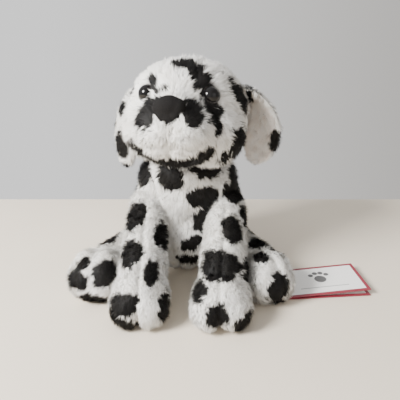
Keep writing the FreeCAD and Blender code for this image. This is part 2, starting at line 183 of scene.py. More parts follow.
# Three whites, then two blacks: pile() picks them by number
fibres = fibre_materials("pile_white", [(0.93, 0.92, 0.895), (0.88, 0.865, 0.83), (0.77, 0.745, 0.695)])
fibres += fibre_materials("pile_black", [(0.006, 0.0055, 0.0055), (0.014, 0.0125, 0.0115)], 0.6, 0.0)
lining_fibres = fibre_materials("pile_lining", [(0.93, 0.90, 0.87), (0.90, 0.84, 0.79), (0.84, 0.755, 0.69)])
lining_fibres += fibres[3:]


# ------------------------------------------------------------ soft bodies

def mesh_object(name, verts, faces, materials=()):
    mesh = bpy.data.meshes.new(name)
    mesh.from_pydata([tuple(v) for v in verts], [], [tuple(f) for f in faces])
    o = bpy.data.objects.new(name, mesh)
    bpy.context.collection.objects.link(o)
    for m in materials:
        mesh.materials.append(m)
    return o


def arrays(o):
    mesh = o.data
    co = np.empty(len(mesh.vertices) * 3)
    mesh.vertices.foreach_get("co", co)
    return co.reshape(-1, 3)


def put(o, co):
    o.data.vertices.foreach_set("co", np.ascontiguousarray(co, float).ravel())
    o.data.update()


def normals(o):
    n = np.empty(len(o.data.vertices) * 3)
    o.data.vertices.foreach_get("normal", n)
    return n.reshape(-1, 3)


def settle(o):
    """Applies every modifier on an object."""
    deps = bpy.context.evaluated_depsgraph_get()
    mesh = bpy.data.meshes.new_from_object(o.evaluated_get(deps))
    o.modifiers.clear()
    old = o.data
    o.data = mesh
    bpy.data.meshes.remove(old)


def blob(name, lumps, voxel=1.7, smooth=10):
    """One skin over many rounded lumps: (centre, half sizes) in mm, melted together."""
    bm = bmesh.new()
    for centre, radii in lumps:
        radii = radii if hasattr(radii, "__len__") else (radii,) * 3
        place = Matrix.Translation(centre) @ Matrix.Diagonal((*radii, 1))
        bmesh.ops.create_icosphere(bm, subdivisions=3, radius=1, matrix=place)
    mesh = bpy.data.meshes.new(name)
    bm.to_mesh(mesh)
    bm.free()
    o = bpy.data.objects.new(name, mesh)
    bpy.context.collection.objects.link(o)
    remesh = o.modifiers.new("r", "REMESH")
    remesh.mode, remesh.voxel_size, remesh.use_smooth_shade = "VOXEL", voxel, True
    soften = o.modifiers.new("s", "SMOOTH")
    soften.factor, soften.iterations = 0.6, smooth
    settle(o)
    return o


def chain(a, b, ra, rb, count=14):
    """Lumps along a tapering run."""
    a, b = np.array(a, float), np.array(b, float)
    return [(a + (b - a) * t, ra + (rb - ra) * t) for t in np.linspace(0, 1, count)]


def stuff(o, seam, cap, floor=None):
    """A short cloth pass with inner pressure, held along the seams. It moves the cover by a few hundredths of a mm."""
    co = arrays(o)
    away = seam(co)
    put(o, co * SIM_SCALE)
    group = o.vertex_groups.new(name="seam")
    for weight, near, far in ((1.0, 0.0, HELD), (0.5, HELD, EASED)):
        chosen = np.nonzero((away >= near) & (away < far))[0]
        group.add([int(i) for i in chosen], weight, "REPLACE")
    cloth = o.modifiers.new("c", "CLOTH")
    s = cloth.settings
    s.quality = 4
    s.use_pressure = True
    s.uniform_pressure_force = SIM_PRESSURE
    s.effector_weights.gravity = 0
    s.vertex_group_mass = "seam"
    s.tension_stiffness = s.compression_stiffness = 25
    s.bending_stiffness = 2.0
    cloth.point_cache.frame_start, cloth.point_cache.frame_end = 1, SIM_FRAMES
    for f in range(1, SIM_FRAMES + 1):
        bpy.context.scene.frame_set(f)
    settle(o)
    bpy.context.scene.frame_set(1)
    move = arrays(o) / SIM_SCALE - co
    size = np.linalg.norm(move, axis=1, keepdims=True)
    move = np.where(np.isfinite(move), move, 0) * np.minimum(1, cap / np.maximum(size, 1e-6))
    new = co + move
    if floor is not None:
        new[:, 2] = np.where(co[:, 2] < floor, co[:, 2], new[:, 2])
    o.vertex_groups.clear()
    put(o, new)


def groove(o, seam, depth=1.3, width=1.7):
    """Draws the surface in along its seams."""
    co, n = arrays(o), normals(o)
    put(o, co - n * (depth * np.exp(-(seam(co) / width) ** 2))[:, None])


def rest_on_floor(o, level=0.25):
    """Flattens what would go through the floor."""
    co = arrays(o)
    low = co[:, 2] < level + 1.5
    co[low, 2] = np.maximum(co[low, 2], level)
    put(o, co)


# ------------------------------------------------------------ spots

def spotted(points, spots, jag=0.34, seed=5):
    """How black the dye is at points in mm: each spot is (centre, half sizes, lean in degrees)."""
    ragged = noise(points, 2.6, seed) * 0.6 + noise(points, 1.1, seed + 1) * 0.4
    best = np.full(len(points), 9.0)
    for centre, radii, lean in spots:
        q = (points - np.array(centre, float)) / SPOT_SPREAD
        c, s = math.cos(math.radians(lean)), math.sin(math.radians(lean))
        x, z = q[:, 0] * c - q[:, 2] * s, q[:, 0] * s + q[:, 2] * c
        r = np.sqrt((x / radii[0]) ** 2 + (q[:, 1] / radii[1]) ** 2 + (z / radii[2]) ** 2)
        best = np.minimum(best, r)
    return np.clip((1.0 + jag * ragged - best) * 5 + 0.5, 0, 1)


def scatter(co, n, count, size, where, seed):
    """More spots, spread over the sides that have none listed."""
    rng = np.random.default_rng(seed)
    pool = np.nonzero(where(co, n))[0]
    chosen = []
    for i in rng.permutation(pool):
        if all(np.linalg.norm(co[i] - co[j]) > 2.7 * size for j in chosen):
            chosen.append(i)
        if len(chosen) == count:
            break
    return [(co[i], size * rng.uniform(0.65, 1.2, 3), rng.uniform(-40, 40)) for i in chosen]


# ------------------------------------------------------------ pile

def pile(name, o, dye, flow, count, length, width, seed, body, bald=None, seam=None, materials=fibres, faces=None):
    """Strands rooted all over a cover, laid along a flow and clumped in small tufts.

    Each strand is a tapering quad with a pointed tip. bald says where strands are kept, seam shortens
    them along a seam, and faces picks the polygons that carry them.
    """
    rng = np.random.default_rng(seed)
    mesh = o.data
    mesh.calc_loop_triangles()
    tri = np.empty(len(mesh.loop_triangles) * 3, np.int64)
    mesh.loop_triangles.foreach_get("vertices", tri)
    tri = tri.reshape(-1, 3)
    if faces is not None:
        poly = np.empty(len(mesh.loop_triangles), np.int64)
        mesh.loop_triangles.foreach_get("polygon_index", poly)
        tri = tri[faces(poly)]
    co, nv = arrays(o), normals(o)
    a, b, c = co[tri[:, 0]], co[tri[:, 1]], co[tri[:, 2]]
    area = np.linalg.norm(np.cross(b - a, c - a), axis=1)
    pick = rng.choice(len(tri), count, p=area / area.sum())
    s, t = rng.random(count), rng.random(count)
    over = s + t > 1
    s[over], t[over] = 1 - s[over], 1 - t[over]
    w = np.stack([1 - s - t, s, t], 1)
    root = (co[tri[pick]] * w[:, :, None]).sum(1)
    up = unit((nv[tri[pick]] * w[:, :, None]).sum(1))
    keep = root[:, 2] > LOWEST_ROOT
    if bald is not None:
        keep &= bald(root)
    root, up = root[keep], up[keep]
    count = len(root)
    way = flow(root, up)
    way = unit(way - up * (way * up).sum(1, keepdims=True))
    tuft = np.stack([noise(root, 3.2, seed + k) for k in (11, 12, 13)], 1)
    fuzz = rng.normal(0, 1, (count, 3))
    near = np.exp(-(seam(root) / 2.2) ** 2) if seam is not None else np.zeros(count)
    patchy = 1 + 0.22 * noise(root, 6.0, seed + 20)
    long = length * rng.uniform(0.65, 1.15, count) * patchy * (1 - 0.45 * near)
    first = unit(up * 0.95 + way * (0.40 * LAY) + tuft * 0.38 + fuzz * 0.13)
    second = unit(up * 0.36 + way * LAY * 0.9 + tuft * 0.80 + fuzz * 0.22)
    under = (second * up).sum(1) < 0.05
    second[under] = unit(second[under] + up[under] * 0.35)
    side = unit(np.cross(first, up) + fuzz[:, ::-1] * 0.25 + np.cross(way, up) * 0.4)
    wide = width * rng.uniform(0.7, 1.25, count)
    base = root - up * ROOT_DEPTH
    mid = base + first * (long * 0.5)[:, None]
    tip = mid + second * (long * 0.55)[:, None]
    for part in (mid, tip):
        part[:, 2] = np.maximum(part[:, 2], LOWEST_TIP)
    verts = np.empty((count, 5, 3))
    verts[:, 0], verts[:, 1] = base - side * wide[:, None] / 2, base + side * wide[:, None] / 2
    verts[:, 2], verts[:, 3] = mid - side * wide[:, None] * 0.42, mid + side * wide[:, None] * 0.42
    verts[:, 4] = tip
    facing = (np.cross(verts[:, 1] - verts[:, 0], mid - base) * up).sum(1) < 0
    verts[facing] = verts[facing][:, [1, 0, 3, 2, 4]]
    start = np.arange(count)[:, None] * 5
    quads = start + np.array([0, 1, 3, 2])
    tips = start + np.array([2, 3, 4])
    mesh = bpy.data.meshes.new(name)
    mesh.vertices.add(count * 5)
    mesh.vertices.foreach_set("co", (verts * MM).ravel())
    mesh.loops.add(count * 7)
    loops = np.concatenate([quads, tips], 1).ravel()
    mesh.loops.foreach_set("vertex_index", loops.astype(np.int32))
    mesh.polygons.add(count * 2)
    starts = (np.arange(count)[:, None] * 7 + np.array([0, 4])).ravel()
    mesh.polygons.foreach_set("loop_start", starts.astype(np.int32))
    black = dye(root + way * (long * 0.35)[:, None]) > rng.uniform(0.35, 0.65, count)
    shade = np.clip(noise(root, 4.5, seed + 30) * 0.9 + rng.normal(0, 0.55, count), -1.5, 1.5)
    light = np.where(shade > 0.1, 0, np.where(shade > -0.75, 1, 2))
    dark = np.where(shade > 0.5, 4, 3)
    slot = np.where(black, dark, light)
    mesh.polygons.foreach_set("material_index", np.repeat(slot, 2).astype(np.int32))
    mesh.update(calc_edges=True)
    for m in materials:
        mesh.materials.append(m)
    soft = unit(up[:, None, :] * 0.75 + unit(np.cross(side, second))[:, None, :] * 0.15
                + np.stack([first, first, first, first, second], 1) * 0.22)
    mesh.polygons.foreach_set("use_smooth", np.ones(count * 2, bool))
    mesh.normals_split_custom_set_from_vertices([tuple(v) for v in soft.reshape(-1, 3)])
    fur = bpy.data.objects.new(name, mesh)
    bpy.context.collection.objects.link(fur)
    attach(fur, body)
    return fur


def finish_cover(o, dye, body, nodes, subdivide=True):
    """Colours a cover, brings it to metres, attaches it to its body and hides the CAD nodes that it stands for."""
    if subdivide:
        sub = o.modifiers.new("d", "SUBSURF")
        sub.levels = sub.render_levels = 1
        settle(o)
    co = arrays(o)
    mesh = o.data
    mesh.attributes.new("spot", "FLOAT", "POINT")
    mesh.attributes["spot"].data.foreach_set("value", dye(co).astype(np.float32))
    put(o, co * MM)
    mesh.polygons.foreach_set("use_smooth", np.ones(len(mesh.polygons), bool))
    if not mesh.materials:
        mesh.materials.append(root_shaded_cloth)
    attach(o, body)
    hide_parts(*nodes)


# ------------------------------------------------------------ head

def head_seam(points):
    """Distance to the seam down the muzzle, the crown's two seams, and the seam round the chin."""
    q = to_head(points)
    x, y, z = q.T
    middle = np.where((y < -36) & (z < 0), np.abs(x), 99)
    crown = np.where((z > 16) | (y > 4), np.abs(np.abs(x) - 11), 99)
    chin = np.where((y < -4) & (z < 0) & (np.abs(x) < 34), np.abs(z + 21 + (y + 30) * 0.15), 99)
    return np.minimum(np.minimum(middle, crown), chin)


HEAD_LUMPS = [
    ((-4, 1, 1), (35, 35, 34)), ((4, 1, 1), (35, 35, 34)),
    ((0, -6, 10), (31, 29, 24)),
    ((-18, -15, -9), (20, 20, 20)), ((19.5, -13.5, -11.5), (20.5, 20, 20)),
    ((-8.0, -29.5, -9.5), (16.5, 20, 17.5)), ((8.0, -29.5, -9.5), (16.5, 20, 17.5)),
    ((0, -33, 1), (12, 17, 11)),
    ((0, -22, -18), (21, 20, 13)),
]
HEAD_SPOTS = [
    ((1, -20, 31), (8, 10, 5), -14), ((14, -13, 34), (5, 8, 2.2), 6),
    ((10.5, -25, 26.5), (3.8, 12, 6), 32), ((15, -28, 20.5), (4.0, 12, 6.5), 34), ((18.5, -29, 12.5), (4.2, 10, 7), 15),
    ((21, -31, 5), (3.8, 10, 6), 18), ((24, -30, -1), (3.7, 10, 6.5), 22), ((26.6, -28, -8), (2.6, 9, 5.5), 22),
    ((-16.5, -29, 20), (2.8, 10, 6), -30), ((-20, -28, 13), (2.6, 8, 5), -30),
    ((-9, -33, 14), (5, 6, 1.6), -22), ((-5.5, -36, 16.5), (3, 5, 1.2), 10),
    ((-16.5, -45, 0.5), (8.2, 18, 10.0), -14), ((-11, -46, 5.5), (7, 14, 6.5), -20),
    ((13.0, -44, 5), (5.8, 11, 8.5), -4), ((14.5, -44, -1), (4.6, 14, 7.0), -18),
    ((32, -15, 22), (4, 10, 6), -34), ((35.5, -11, 14), (4.4, 10, 7.5), -26), ((38, -6, 7), (4, 9, 7), -16),
    ((-35, -11, 16), (3, 7, 7), 0), ((-36, -6, 2), (3, 6, 4), 0),
    ((-28, -17, -17.5), (4.4, 14, 7), 36), ((-21, -24, -23.5), (8, 14, 4.0), 34),
    ((-11, -30, -27.2), (8.0, 14, 3.4), 14),
    ((2, -33, -28.6), (9, 14, 3.2), 2), ((12, -33, -27), (8, 14, 3.8), -16), ((19, -31, -22.6), (6.4, 14, 4.2), -38),
    ((29.5, -14, -22.5), (8, 12, 4.8), -40), ((35.5, -11, -15), (5, 16, 10.5), -8),
]

head = blob("head_cover", [(from_head([c])[0], r) for c, r in HEAD_LUMPS])
stuff(head, head_seam, cap=1.2)
groove(head, head_seam)
extra = scatter(arrays(head), normals(head), 12, 8.0,
                lambda p, n: (to_head(p)[:, 1] > 8) & (p[:, 2] > 90), 3)


def head_dye(points):
    return np.maximum(spotted(to_head(points), HEAD_SPOTS, seed=5), spotted(points, extra, seed=6))


def head_flow(points, up):
    """Away from the nose, and down the cheeks."""
    q = to_head(points)
    away = unit(q - np.array([0, -52, 1.0]))
    fall = np.array([0, 0.25, -1.0]) * np.clip((np.abs(q[:, 0:1]) - 12) / 22, 0, 0.8)
    chin = np.array([0, 0, -1.0]) * np.clip((-4 - q[:, 2:3]) / 10, 0, 1)
    rim = np.hypot(q[:, 0:1] / 9.5, (q[:, 2:3] - 1.5) / 11.5) - 1
    under = np.exp(-(rim / 0.28) ** 2) * (q[:, 1:2] < -38) * (q[:, 2:3] < 4)
    rise = np.stack([-np.sign(q[:, 0]) * 0.25, np.zeros(len(q)), np.ones(len(q))], 1)
    return ((away * 0.9 + fall + chin) * (1 - under) + rise * 1.4 * under) @ HEAD_TURN.T


def head_bald(points):
    q = to_head(points)
    keep = np.ones(len(q), bool)
    for eye in EYES:
        keep &= np.linalg.norm(q - eye, axis=1) > EYE_BALD
    flat = np.hypot(q[:, 0] / 7.6, (q[:, 2] - 3.4) / 7.4)
    keep &= ~((flat < 1) & (q[:, 1] < -38))
    return keep


pile("head_pile", head, head_dye, head_flow, 64000, 4.9, 0.36, 21, "head", bald=head_bald)
finish_cover(head, head_dye, "head", ["head_left_panel", "head_right_panel", "head_crown_panel", "head_chin_panel"])

# ------------------------------------------------------------ nose

NOSE_LUMPS = [
    ((-4.6, 0.5, 0.2), (5.6, 5.2, 5.8)), ((4.6, 0.5, 0.2), (5.6, 5.2, 5.8)), ((0, -0.6, 0.9), (8.2, 5.6, 6.6)),
    ((-3.4, 0.2, -3.4), (5.0, 4.8, 5.0)), ((3.4, 0.2, -3.4), (5.0, 4.8, 5.0)),
    ((0, 0.3, -5.0), (6.0, 4.8, 5.4)), ((0, 1.0, -9.0), (3.6, 4.0, 4.2)), ((0, 1.6, -12.2), (1.7, 2.9, 2.8)),
]
nose = blob("nose_cover", [(from_head([NOSE + np.array(c)])[0], r) for c, r in NOSE_LUMPS], voxel=0.7, smooth=6)
velour, shader = principled("nose_velour", (0.012, 0.012, 0.013), 0.95)
shader.inputs["Specular IOR Level"].default_value = 0.12
velour_grain = noise_node(velour, 2400.0, 3.0)
bump(velour, shader, velour_grain.outputs["Fac"], 0.6, 0.0004)
velour_tint = add(velour, "ShaderNodeValToRGB")
velour_tint.color_ramp.elements[0].color = (0.003, 0.003, 0.003, 1)
velour_tint.color_ramp.elements[1].color = (0.016, 0.015, 0.015, 1)
link(velour, velour_grain.outputs["Fac"], velour_tint.inputs["Fac"])
link(velour, velour_tint.outputs["Color"], shader.inputs["Base Color"])
nose.data.materials.append(velour)
finish_cover(nose, lambda p: np.ones(len(p)), "head", ["nose"], subdivide=False)

# ------------------------------------------------------------ ears

EAR_FORMS = {
    "ear_left": dict(
        line=[(31, -9, 133), (42, -8, 131), (51, -6, 121), (55, -4, 106), (53.5, -4, 92), (49, -5, 79)],
        turn=[20, 28, 42, 55, 60, 62], side=1,
        half=[8, 9.5, 11.5, 12.8, 12.6, 9.5]),
    "ear_right": dict(
        line=[(-26, 3, 133), (-36, -1, 129), (-43, -6, 118), (-45, -9, 105), (-44.5, -11, 92), (-43, -12, 79)],
        turn=[8, -4, -22, -34, -36, -36], side=-1,
        half=[8, 10, 12, 12.8, 12.0, 8.5]),
}
EAR_SPOTS = {
    "ear_left": [((41, -4, 128), (6, 12, 8), 20), ((43.5, -12, 117), (3.0, 8, 9), 0), ((64, -9, 94), (5.5, 7, 10), 0),
                 ((58, 2, 112), (5, 6, 7), 0)],
    "ear_right": [((-45, -14, 94), (6.5, 14, 8.5), 0), ((-44, -14, 78), (4, 8, 3), 0), ((-44, -8, 117), (3.5, 9, 4), 0),
                  ((-48, 4, 104), (6, 6, 6), 0)],
}


def ear_mesh(name):
    """A soft flap along a hanging line: the outer fabric on one side and the lining on the other."""
    form = EAR_FORMS[name]
    keys = np.linspace(0, 1, len(form["line"]))
    steps = np.linspace(0, 1, 34)
    smooth_line = np.stack([np.interp(steps, keys, np.array(form["line"])[:, k]) for k in range(3)], 1)
    for _ in range(6):
        smooth_line[1:-1] = (smooth_line[:-2] + 2 * smooth_line[1:-1] + smooth_line[2:]) / 4
    turn = np.radians(np.interp(steps, keys, form["turn"]))
    half = np.interp(steps, keys, form["half"])
    half[-8:] *= np.sqrt(1 - np.linspace(0.08, 0.99, 8) ** 2)
    ring = 26
    verts, faces, inner = [], [], []
    for i, (at, angle, reach) in enumerate(zip(smooth_line, turn, half)):
        out = np.array([form["side"] * math.cos(angle), math.sin(angle), 0])
        along = np.array([-form["side"] * math.sin(angle), math.cos(angle), 0])
        thick = 1.9 * min(1, reach / 5)
        for k in range(ring):
            a = 2 * math.pi * k / ring
            cup = -0.014 * reach * (math.cos(a) ** 2) * reach
            verts.append(at + along * reach * math.cos(a) + out * (thick * math.sin(a) + cup))
    for i in range(len(steps) - 1):
        for k in range(ring):
            a, b = i * ring + k, i * ring + (k + 1) % ring
            faces.append((a, b, b + ring, a + ring))
            inner.append(ring // 2 + 2 <= k < ring - 2)
    faces.append(tuple(range(ring))[::-1])
    faces.append(tuple((len(steps) - 1) * ring + k for k in range(ring)))
    inner += [False, False]
    o = mesh_object(name + "_cover", np.array(verts), faces, [root_shaded_cloth, lining_cloth])
    o.data.polygons.foreach_set("material_index", np.array(inner, np.int32))
    bm = bmesh.new()
    bm.from_mesh(o.data)
    bmesh.ops.recalc_face_normals(bm, faces=bm.faces)
    bm.to_mesh(o.data)
    bm.free()
    o.data.update()
    return o, np.array(inner)


def ear_flow(points, up):
    return np.tile([0.0, 0.0, -1.0], (len(points), 1))


for number, ear in enumerate(EAR_FORMS):
    cover, inner = ear_mesh(ear)

    def ear_dye(points, ear=ear):
        return spotted(points, EAR_SPOTS[ear], seed=9)

    pile(ear + "_pile", cover, ear_dye, ear_flow, 9000, 3.8, 0.34, 40 + number, ear,
         faces=lambda poly, inner=inner: ~inner[poly])
    pile(ear + "_lining_pile", cover, ear_dye, ear_flow, 9000, 4.2, 0.34, 50 + number, ear,
         faces=lambda poly, inner=inner: inner[poly], materials=lining_fibres)
    finish_cover(cover, ear_dye, ear, [ear + "_outer_panel", ear + "_lining_panel"], subdivide=False)

# ------------------------------------------------------------ torso

def torso_seam(points):
    """Distance to the two sides of the chest wedge, the seam round the seat, and the back seam."""
    x, y, z = points.T
    wedge = np.where(y < -6, np.abs(np.abs(x) - (7 + 19 * (z - 7) / 80)), 99)
    seat = np.abs(z - 7)
    back = np.where(y > 10, np.abs(x), 99)
    return np.minimum(np.minimum(wedge, seat), back)


TORSO_LUMPS = [
    ((0, 3, 25), (38, 37, 33)), ((-12, -3, 47), (27, 27, 28)), ((12, -3, 47), (27, 27, 28)),
    ((-11, -5, 66), (24, 24, 21)), ((11, -5, 66), (24, 24, 21)), ((0, -7, 76), (28, 27, 18)),
    ((0, -12, 60), (24, 21, 22)),
]
TORSO_SPOTS = [
    ((-31, -12, 72), (8, 14, 9), 0), ((-11, -31, 75), (8.5, 14, 9), -12), ((16, -29, 79.6), (12.5, 14, 5.2), 6),
    ((11, -30, 61), (11.5, 14, 7.5), 4), ((14, -31, 44), (10, 14, 9), -38), ((3, -35, 27), (8, 10, 5), -25),
    ((4, -34, 13), (13, 9, 4), 5), ((34, -14, 72), (6, 12, 6), 0), ((33, -14, 60), (10, 18, 10), -20),
    ((27, -24, 53), (7, 9, 3.2), -38), ((44, -6, 41), (6, 10, 10), 20), ((-36, 0, 55), (6, 8, 6), 0),
]
torso = blob("torso_cover", TORSO_LUMPS)
rest_on_floor(torso)
stuff(torso, torso_seam, cap=1.3, floor=4)
groove(torso, torso_seam, 1.2)
rest_on_floor(torso)
torso_extra = scatter(arrays(torso), normals(torso), 14, 8.5,
                      lambda p, n: (p[:, 1] > 4) & (p[:, 2] > 6) & (p[:, 2] < 84), 4)


def torso_dye(points):
    return np.maximum(spotted(points, TORSO_SPOTS, seed=7), spotted(points, torso_extra, seed=8))


def torso_flow(points, up):
    return np.stack([points[:, 0] * 0.012, np.zeros(len(points)), -np.ones(len(points))], 1)


pile("torso_pile", torso, torso_dye, torso_flow, 60000, 4.5, 0.36, 22, "torso", seam=torso_seam)
finish_cover(torso, torso_dye, "torso", ["torso_left_panel", "torso_right_panel", "chest_panel", "seat_panel",
                                          "neck_lower_seam_band", "neck_upper_seam_band"])

# ------------------------------------------------------------ limbs

LIMBS = {
    "foreleg_left": dict(
        root=(28, -18, 49), paw=(22, -80, 14),
        lumps=chain((28, -18, 48.5), (24, -68, 23), 12.8, 14.6) + [
            ((22, -82, 15), (17.5, 18, 15)), ((15, -90, 12.0), (11, 13.5, 12.0)), ((29, -89, 12.0), (11, 13.5, 12.0))],
        spots=[((30, -52, 48), (6.8, 12, 10.5), -12), ((16, -77, 34.5), (18, 15, 7.6), 4),
               ((8, -88, 22), (6, 9, 4.6), -35),
               ((19, -100, 14), (6.8, 10, 6.8), 20), ((35, -96, 8), (6.5, 10, 7), -20),
               ((39, -70, 27), (5.5, 10, 7.5), 0),
               ((41, -34, 48), (5, 10, 9), 0), ((34, -20, 60), (8, 12, 6), 0), ((23, -102, 0), (6, 8, 2.5), 0)]),
    "foreleg_right": dict(
        root=(-28, -18, 49), paw=(-28, -77, 14),
        lumps=chain((-28, -18, 48.5), (-28, -66, 23), 12.8, 14.6) + [
            ((-28, -79, 15), (17.5, 18, 15)), ((-35, -86, 12.0), (11, 13.5, 12.0)),
            ((-22, -87, 12.0), (11, 13.5, 12.0))],
        spots=[((-36, -40, 52), (8, 13, 11), 26), ((-14, -50, 42), (7.5, 12, 10.5), 15),
               ((-37, -67, 37), (9, 12, 7.5), -10),
               ((-21, -80, 31), (4.2, 10, 9), 8), ((-36, -96, 18), (9, 12, 5.5), -20),
               ((-37, -94, 5), (10.5, 13, 7), 28),
               ((-13, -91, 13), (4, 10, 8.5), 0)]),
    "hindleg_left": dict(
        root=(29, 6, 17), paw=(55, -54, 15),
        lumps=chain((29, 6, 16), (52, -44, 15), 12.6, 12.8) + [
            ((51, -55, 15), (12.5, 14.5, 14.8)), ((59, -56, 15), (10.5, 15, 14.6)), ((51.5, -62, 13.5), (11, 14, 13.5)),
            ((60, -61, 13.5), (10, 14, 13.5))],
        spots=[((59.5, -76, 15), (6.4, 14, 10.5), 8), ((61, -73, 1), (8, 10, 3), 0), ((50, -58, 30), (5.5, 6, 4), -20),
               ((50, -34, 26), (6.5, 8, 8), 0), ((46, -8, 22), (6, 9, 7), 0)]),
    "hindleg_right": dict(
        root=(-29, 6, 17), paw=(-60, -51, 15),
        lumps=chain((-29, 6, 16), (-56, -40, 15), 12.6, 12.8) + [
            ((-65, -53, 15.5), (11.5, 15, 15)), ((-55, -54, 16), (12, 15, 15.5)), ((-66, -59, 14.5), (11.5, 14, 14.5)),
            ((-54.5, -60, 15), (12, 14, 15))],
        spots=[((-66, -66, 28.5), (5, 8, 3.2), -22), ((-70, -71, 19), (7, 12, 6.2), 0),
               ((-51, -70, 25), (7.5, 10, 10), 30),
               ((-60, -74, 5), (9.5, 10, 6.5), 14), ((-58, -28, 24), (7, 9, 7), 0), ((-44, -2, 22), (6, 8, 8), 0)]),
}


def make_limb(name, form, seed):
    """One leg: its cover, its spots and its pile, which lies from the root towards the paw."""
    root, paw = np.array(form["root"], float), np.array(form["paw"], float)
    run = unit(paw - root)
    across = unit(np.cross([0, 0, 1.0], run) * [1, 1, 0])

    def seam(points):
        q = points - root
        middle = np.abs(q @ across)
        return np.where((q @ run > 6) & (points[:, 2] > 1.5), middle, 99)

    o = blob(name + "_cover", form["lumps"])
    rest_on_floor(o)
    stuff(o, seam, cap=1.1, floor=4)
    groove(o, seam, 1.6, 1.5)
    rest_on_floor(o)
    more = scatter(arrays(o), normals(o), 5, 6.5, lambda p, n: (n[:, 1] > 0.35) & ((p - root) @ run > 8), seed)

    def dye(points):
        return np.maximum(spotted(points, form["spots"], seed=seed), spotted(points, more, seed=seed + 1))

    def flow(points, up):
        return np.tile(run, (len(points), 1)) + np.array([0, 0, -0.35])

    pile(name + "_pile", o, dye, flow, 30000, 4.1, 0.34, seed + 60, name, seam=seam)
    finish_cover(o, dye, name, [name + "_outer_panel", name + "_inner_panel"])


for number, (name, form) in enumerate(LIMBS.items()):
    make_limb(name, form, 100 + 10 * number)

# ------------------------------------------------------------ tail

TAIL_START, TAIL_SWEEP = 18, 52  # degrees along the tail's arc
TAIL_BEND = 45                   # mm, the arc's radius
first = math.radians(TAIL_START)
tail_line = []
for share in np.linspace(0, 1, 16):
    angle = math.radians(TAIL_START + TAIL_SWEEP * share)
    y = 35 + TAIL_BEND * (math.sin(angle) - math.sin(first))
    z = 15 + TAIL_BEND * (math.cos(first) - math.cos(angle))
    tail_line.append(((0, y, z), 6.2 - 1.6 * share))
tail = blob("tail_cover", tail_line, voxel=1.2, smooth=6)
TAIL_SPOTS = [((0, 50, 22), (7, 6, 6), 0), ((0, 64, 42), (6, 5, 6), 0)]


def tail_dye(points):
    return spotted(points, TAIL_SPOTS, seed=31)


def tail_flow(points, up):
    angle = np.clip((points[:, 1] - 35) / 30, 0, 1) * 0.9 + 0.3
    return np.stack([np.zeros(len(points)), np.cos(angle), np.sin(angle)], 1)


pile("tail_pile", tail, tail_dye, tail_flow, 8000, 3.6, 0.34, 71, "tail")
finish_cover(tail, tail_dye, "tail", ["tail_left_panel", "tail_right_panel"])

# ------------------------------------------------------------ plastic, paper and thread

def dress(names, material):
    """Gives carried-over CAD nodes their material."""
    for name in names:
        o = bpy.data.objects[name]
        o.data.materials.clear()
        o.data.materials.append(material)


def tinted(name, low, high, rough, scale, depth, coat=0.0):
    """A material with fine procedural variation in colour and height."""
    m, shader = principled(name, high, rough, coat=coat)
    grain = noise_node(m, scale)
    ramp = add(m, "ShaderNodeValToRGB")
    ramp.color_ramp.elements[0].color = (*low, 1)
    ramp.color_ramp.elements[1].color = (*high, 1)
    link(m, grain.outputs["Fac"], ramp.inputs["Fac"])
    link(m, ramp.outputs["Color"], shader.inputs["Base Color"])
    bump(m, shader, grain.outputs["Fac"], 0.4, depth)
    return m


eye_plastic, eye_shader = principled("eye_plastic", (0.004, 0.0035, 0.0035), 0.07)
eye_shader.inputs["Specular IOR Level"].default_value = 0.35
dress(["eye_left", "eye_right"], eye_plastic)
dress(["mouth_seam_thread", "closing_stitches"],
      tinted("thread", (0.58, 0.56, 0.52), (0.80, 0.78, 0.74), 0.8, 1800.0, 0.0003))
dress(["tag_pin", "tag_pin_anchor"],
      tinted("pin_plastic", (0.75, 0.75, 0.74), (0.85, 0.85, 0.84), 0.35, 400.0, 0.0001))
dress(["eye_washer_left", "eye_washer_right"],
      tinted("washer_plastic", (0.75, 0.75, 0.72), (0.85, 0.85, 0.82), 0.5, 500.0, 0.0002))
dress([o.name for o in bpy.data.objects if o.name.endswith(("_stuffing", "_pouch", "_pellets"))],
      tinted("fibre_fill", (0.70, 0.70, 0.68), (0.86, 0.86, 0.84), 0.95, 300.0, 0.001))

RIM_R, RIM_TUBE, RIM_OUT = 5.15, 0.6, 0.5  # mm
rim_plastic = tinted("eye_rim", (0.012, 0.009, 0.008), (0.040, 0.030, 0.025), 0.22, 900.0, 0.00005, 0.5)
for name, side, at in (("eye_rim_left", 1, EYES[0]), ("eye_rim_right", -1, EYES[1])):
    look = Vector(unit(at - np.array([side * 4.5, 0, 0])))
    bpy.ops.mesh.primitive_torus_add(major_segments=64, minor_segments=16,
                                     major_radius=RIM_R * MM, minor_radius=RIM_TUBE * MM)
    rim = bpy.context.object
    rim.name = name
    place = Matrix.Translation(Vector(from_head([at + np.array(look) * RIM_OUT])[0] * MM))
    turn = Matrix(HEAD_TURN.tolist()).to_4x4() @ look.to_track_quat("Z", "Y").to_matrix().to_4x4()
    rim.data.transform(place @ turn @ Matrix.Diagonal((1, 1, 0.8, 1)))
    rim.data.polygons.foreach_set("use_smooth", [True] * len(rim.data.polygons))
    rim.data.materials.append(rim_plastic)
    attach(rim, "head")


def value(m, operation, a, b):
    """A maths node on two numbers or sockets."""
    n = add(m, "ShaderNodeMath", operation=operation)
    for socket, source in zip(n.inputs, (a, b)):
        if isinstance(source, (int, float)):
            socket.default_value = source
        else:
            link(m, source, socket)
    return n.outputs[0]


def within(m, socket, centre, reach):
    """1 where a socket is nearer than reach to a centre."""
    return value(m, "LESS_THAN", value(m, "ABSOLUTE", value(m, "SUBTRACT", socket, centre), 0.0), reach)


# The card, in metres: its corner, its size, and its edge band
CARD_CORNER = (0.0675, -0.0635, 0)
CARD_LONG, CARD_WIDE, CARD_BAND = 0.058, 0.035, 0.0023
